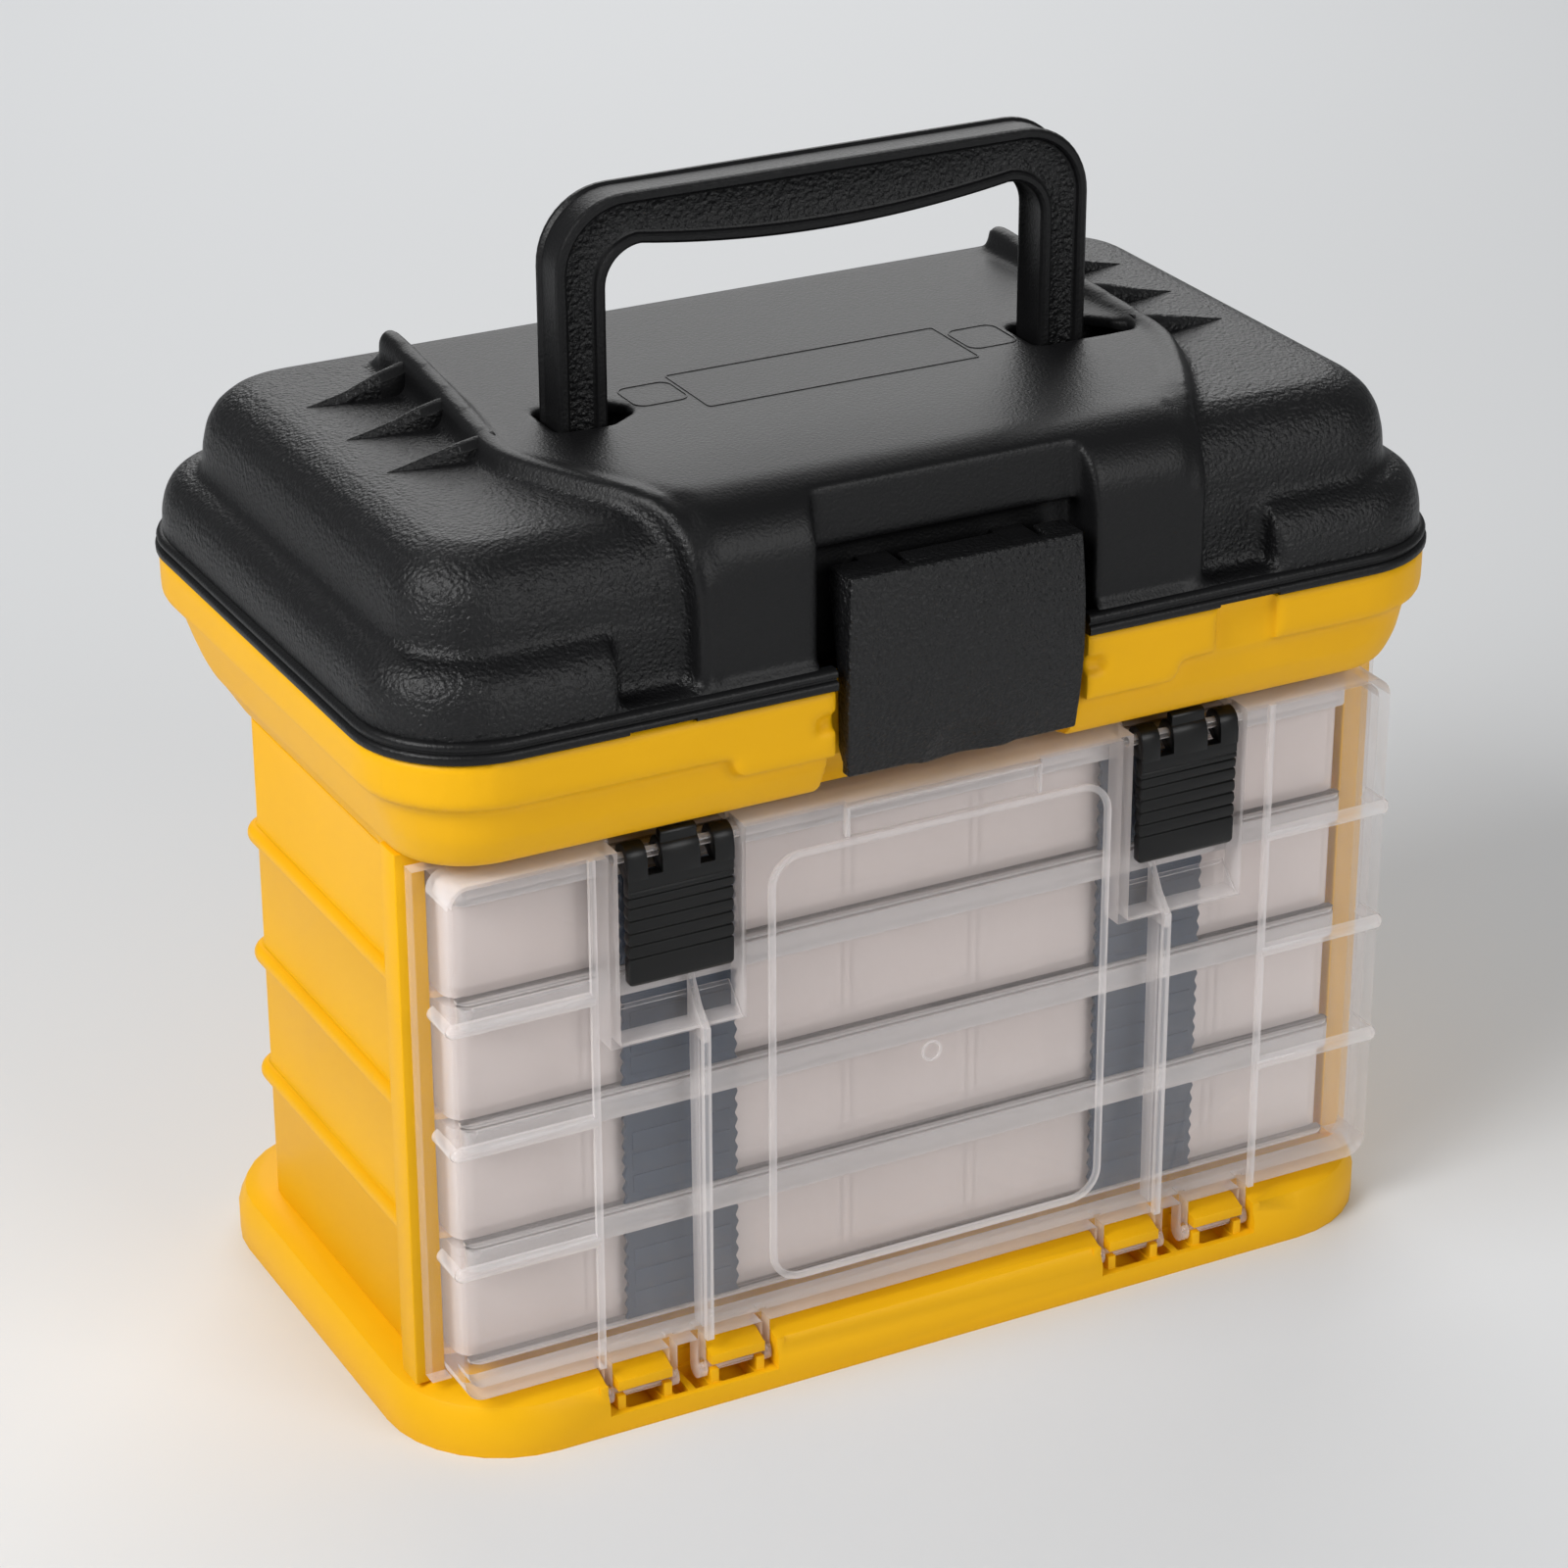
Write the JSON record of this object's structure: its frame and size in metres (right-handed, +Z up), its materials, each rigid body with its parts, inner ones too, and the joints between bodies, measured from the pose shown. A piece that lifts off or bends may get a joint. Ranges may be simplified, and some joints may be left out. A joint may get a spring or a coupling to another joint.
{
  "type": "fishing tackle cabinet",
  "caption": "Portable tackle cabinet with a domed lid over a top bin, a drop-down clear door and slide-in compartment trays behind it.",
  "frame": {"origin": "middle of the whole object's width and depth, at the floor it stands on", "axes": "+Z up, -Y out of the front door, +X to the right as seen from the front"},
  "size_m": [0.27, 0.1712, 0.274],
  "materials": {
    "yellow_plastic": "satin moulded polypropylene",
    "black_plastic": "fine grained moulded polypropylene",
    "clear_plastic": "frosted clear polypropylene",
    "tray_plastic": "frosted clear polypropylene",
    "latch_plastic": "satin moulded plastic",
    "pin_steel": "plain drawn wire"
  },
  "bodies": {
    "cabinet": {"base_plate": "yellow_plastic", "body_shell": "yellow_plastic", "top_bin": "yellow_plastic", "lid_hinge_pins": "pin_steel"},
    "lid": {"lid": "black_plastic", "clasp_pin": "pin_steel"},
    "clasp": {"clasp": "black_plastic"},
    "handle": {"handle": "black_plastic"},
    "front_door": {"front_door": "clear_plastic"},
    "door_latch_left": {"door_latch_left": "black_plastic"},
    "door_latch_right": {"door_latch_right": "black_plastic"},
    "tray_1": {"tray_1": "tray_plastic", "tray_lid_1": "tray_plastic", "tray_lid_pins_1": "pin_steel", "tray_latches_1": "latch_plastic", "tray_dividers_1": "tray_plastic"},
    "tray_2": {"tray_2": "tray_plastic", "tray_lid_2": "tray_plastic", "tray_lid_pins_2": "pin_steel", "tray_latches_2": "latch_plastic", "tray_dividers_2": "tray_plastic"},
    "tray_3": {"tray_3": "tray_plastic", "tray_lid_3": "tray_plastic", "tray_lid_pins_3": "pin_steel", "tray_latches_3": "latch_plastic", "tray_dividers_3": "tray_plastic"},
    "tray_4": {"tray_4": "tray_plastic", "tray_lid_4": "tray_plastic", "tray_lid_pins_4": "pin_steel", "tray_latches_4": "latch_plastic", "tray_dividers_4": "tray_plastic"}
  },
  "joints": [
    {"name": "lid_hinge", "type": "hinge", "parent": "cabinet", "child": "lid", "pos_m": [0, 0.082, 0.179], "axis": [-1, 0, 0], "range_deg": [0, 105]},
    {"name": "clasp_hinge", "type": "hinge", "parent": "lid", "child": "clasp", "pos_m": [0, -0.0778, 0.1984], "axis": [-1, 0, 0], "range_deg": [0, 100]},
    {"name": "handle_slide", "type": "slide", "parent": "lid", "child": "handle", "axis": [0, 0, -1], "range_m": [-0.0008, 0.035]},
    {"name": "door_hinge", "type": "hinge", "parent": "cabinet", "child": "front_door", "pos_m": [0, -0.0729, 0.008], "axis": [1, 0, 0], "range_deg": [0, 90]},
    {"name": "door_latch_left_hinge", "type": "hinge", "parent": "front_door", "child": "door_latch_left", "pos_m": [-0.0656, -0.0714, 0.1422], "axis": [-1, 0, 0], "range_deg": [0, 90]},
    {"name": "door_latch_right_hinge", "type": "hinge", "parent": "front_door", "child": "door_latch_right", "pos_m": [0.0656, -0.0714, 0.1422], "axis": [-1, 0, 0], "range_deg": [0, 90]},
    {"name": "tray_1_slide", "type": "slide", "parent": "cabinet", "child": "tray_1", "axis": [0, -1, 0], "range_m": [0, 0.085]},
    {"name": "tray_2_slide", "type": "slide", "parent": "cabinet", "child": "tray_2", "axis": [0, -1, 0], "range_m": [0, 0.07]},
    {"name": "tray_3_slide", "type": "slide", "parent": "cabinet", "child": "tray_3", "axis": [0, -1, 0], "range_m": [0, 0.05]},
    {"name": "tray_4_slide", "type": "slide", "parent": "cabinet", "child": "tray_4", "axis": [0, -1, 0], "range_m": [0, 0.012]}
  ],
  "couplings": [
    {"joint": "tray_1_slide", "follows": "door_hinge", "m_per_rad": 0.054112},
    {"joint": "tray_2_slide", "follows": "door_hinge", "m_per_rad": 0.044563},
    {"joint": "tray_3_slide", "follows": "door_hinge", "m_per_rad": 0.03183},
    {"joint": "tray_4_slide", "follows": "door_hinge", "m_per_rad": 0.007639}
  ]
}
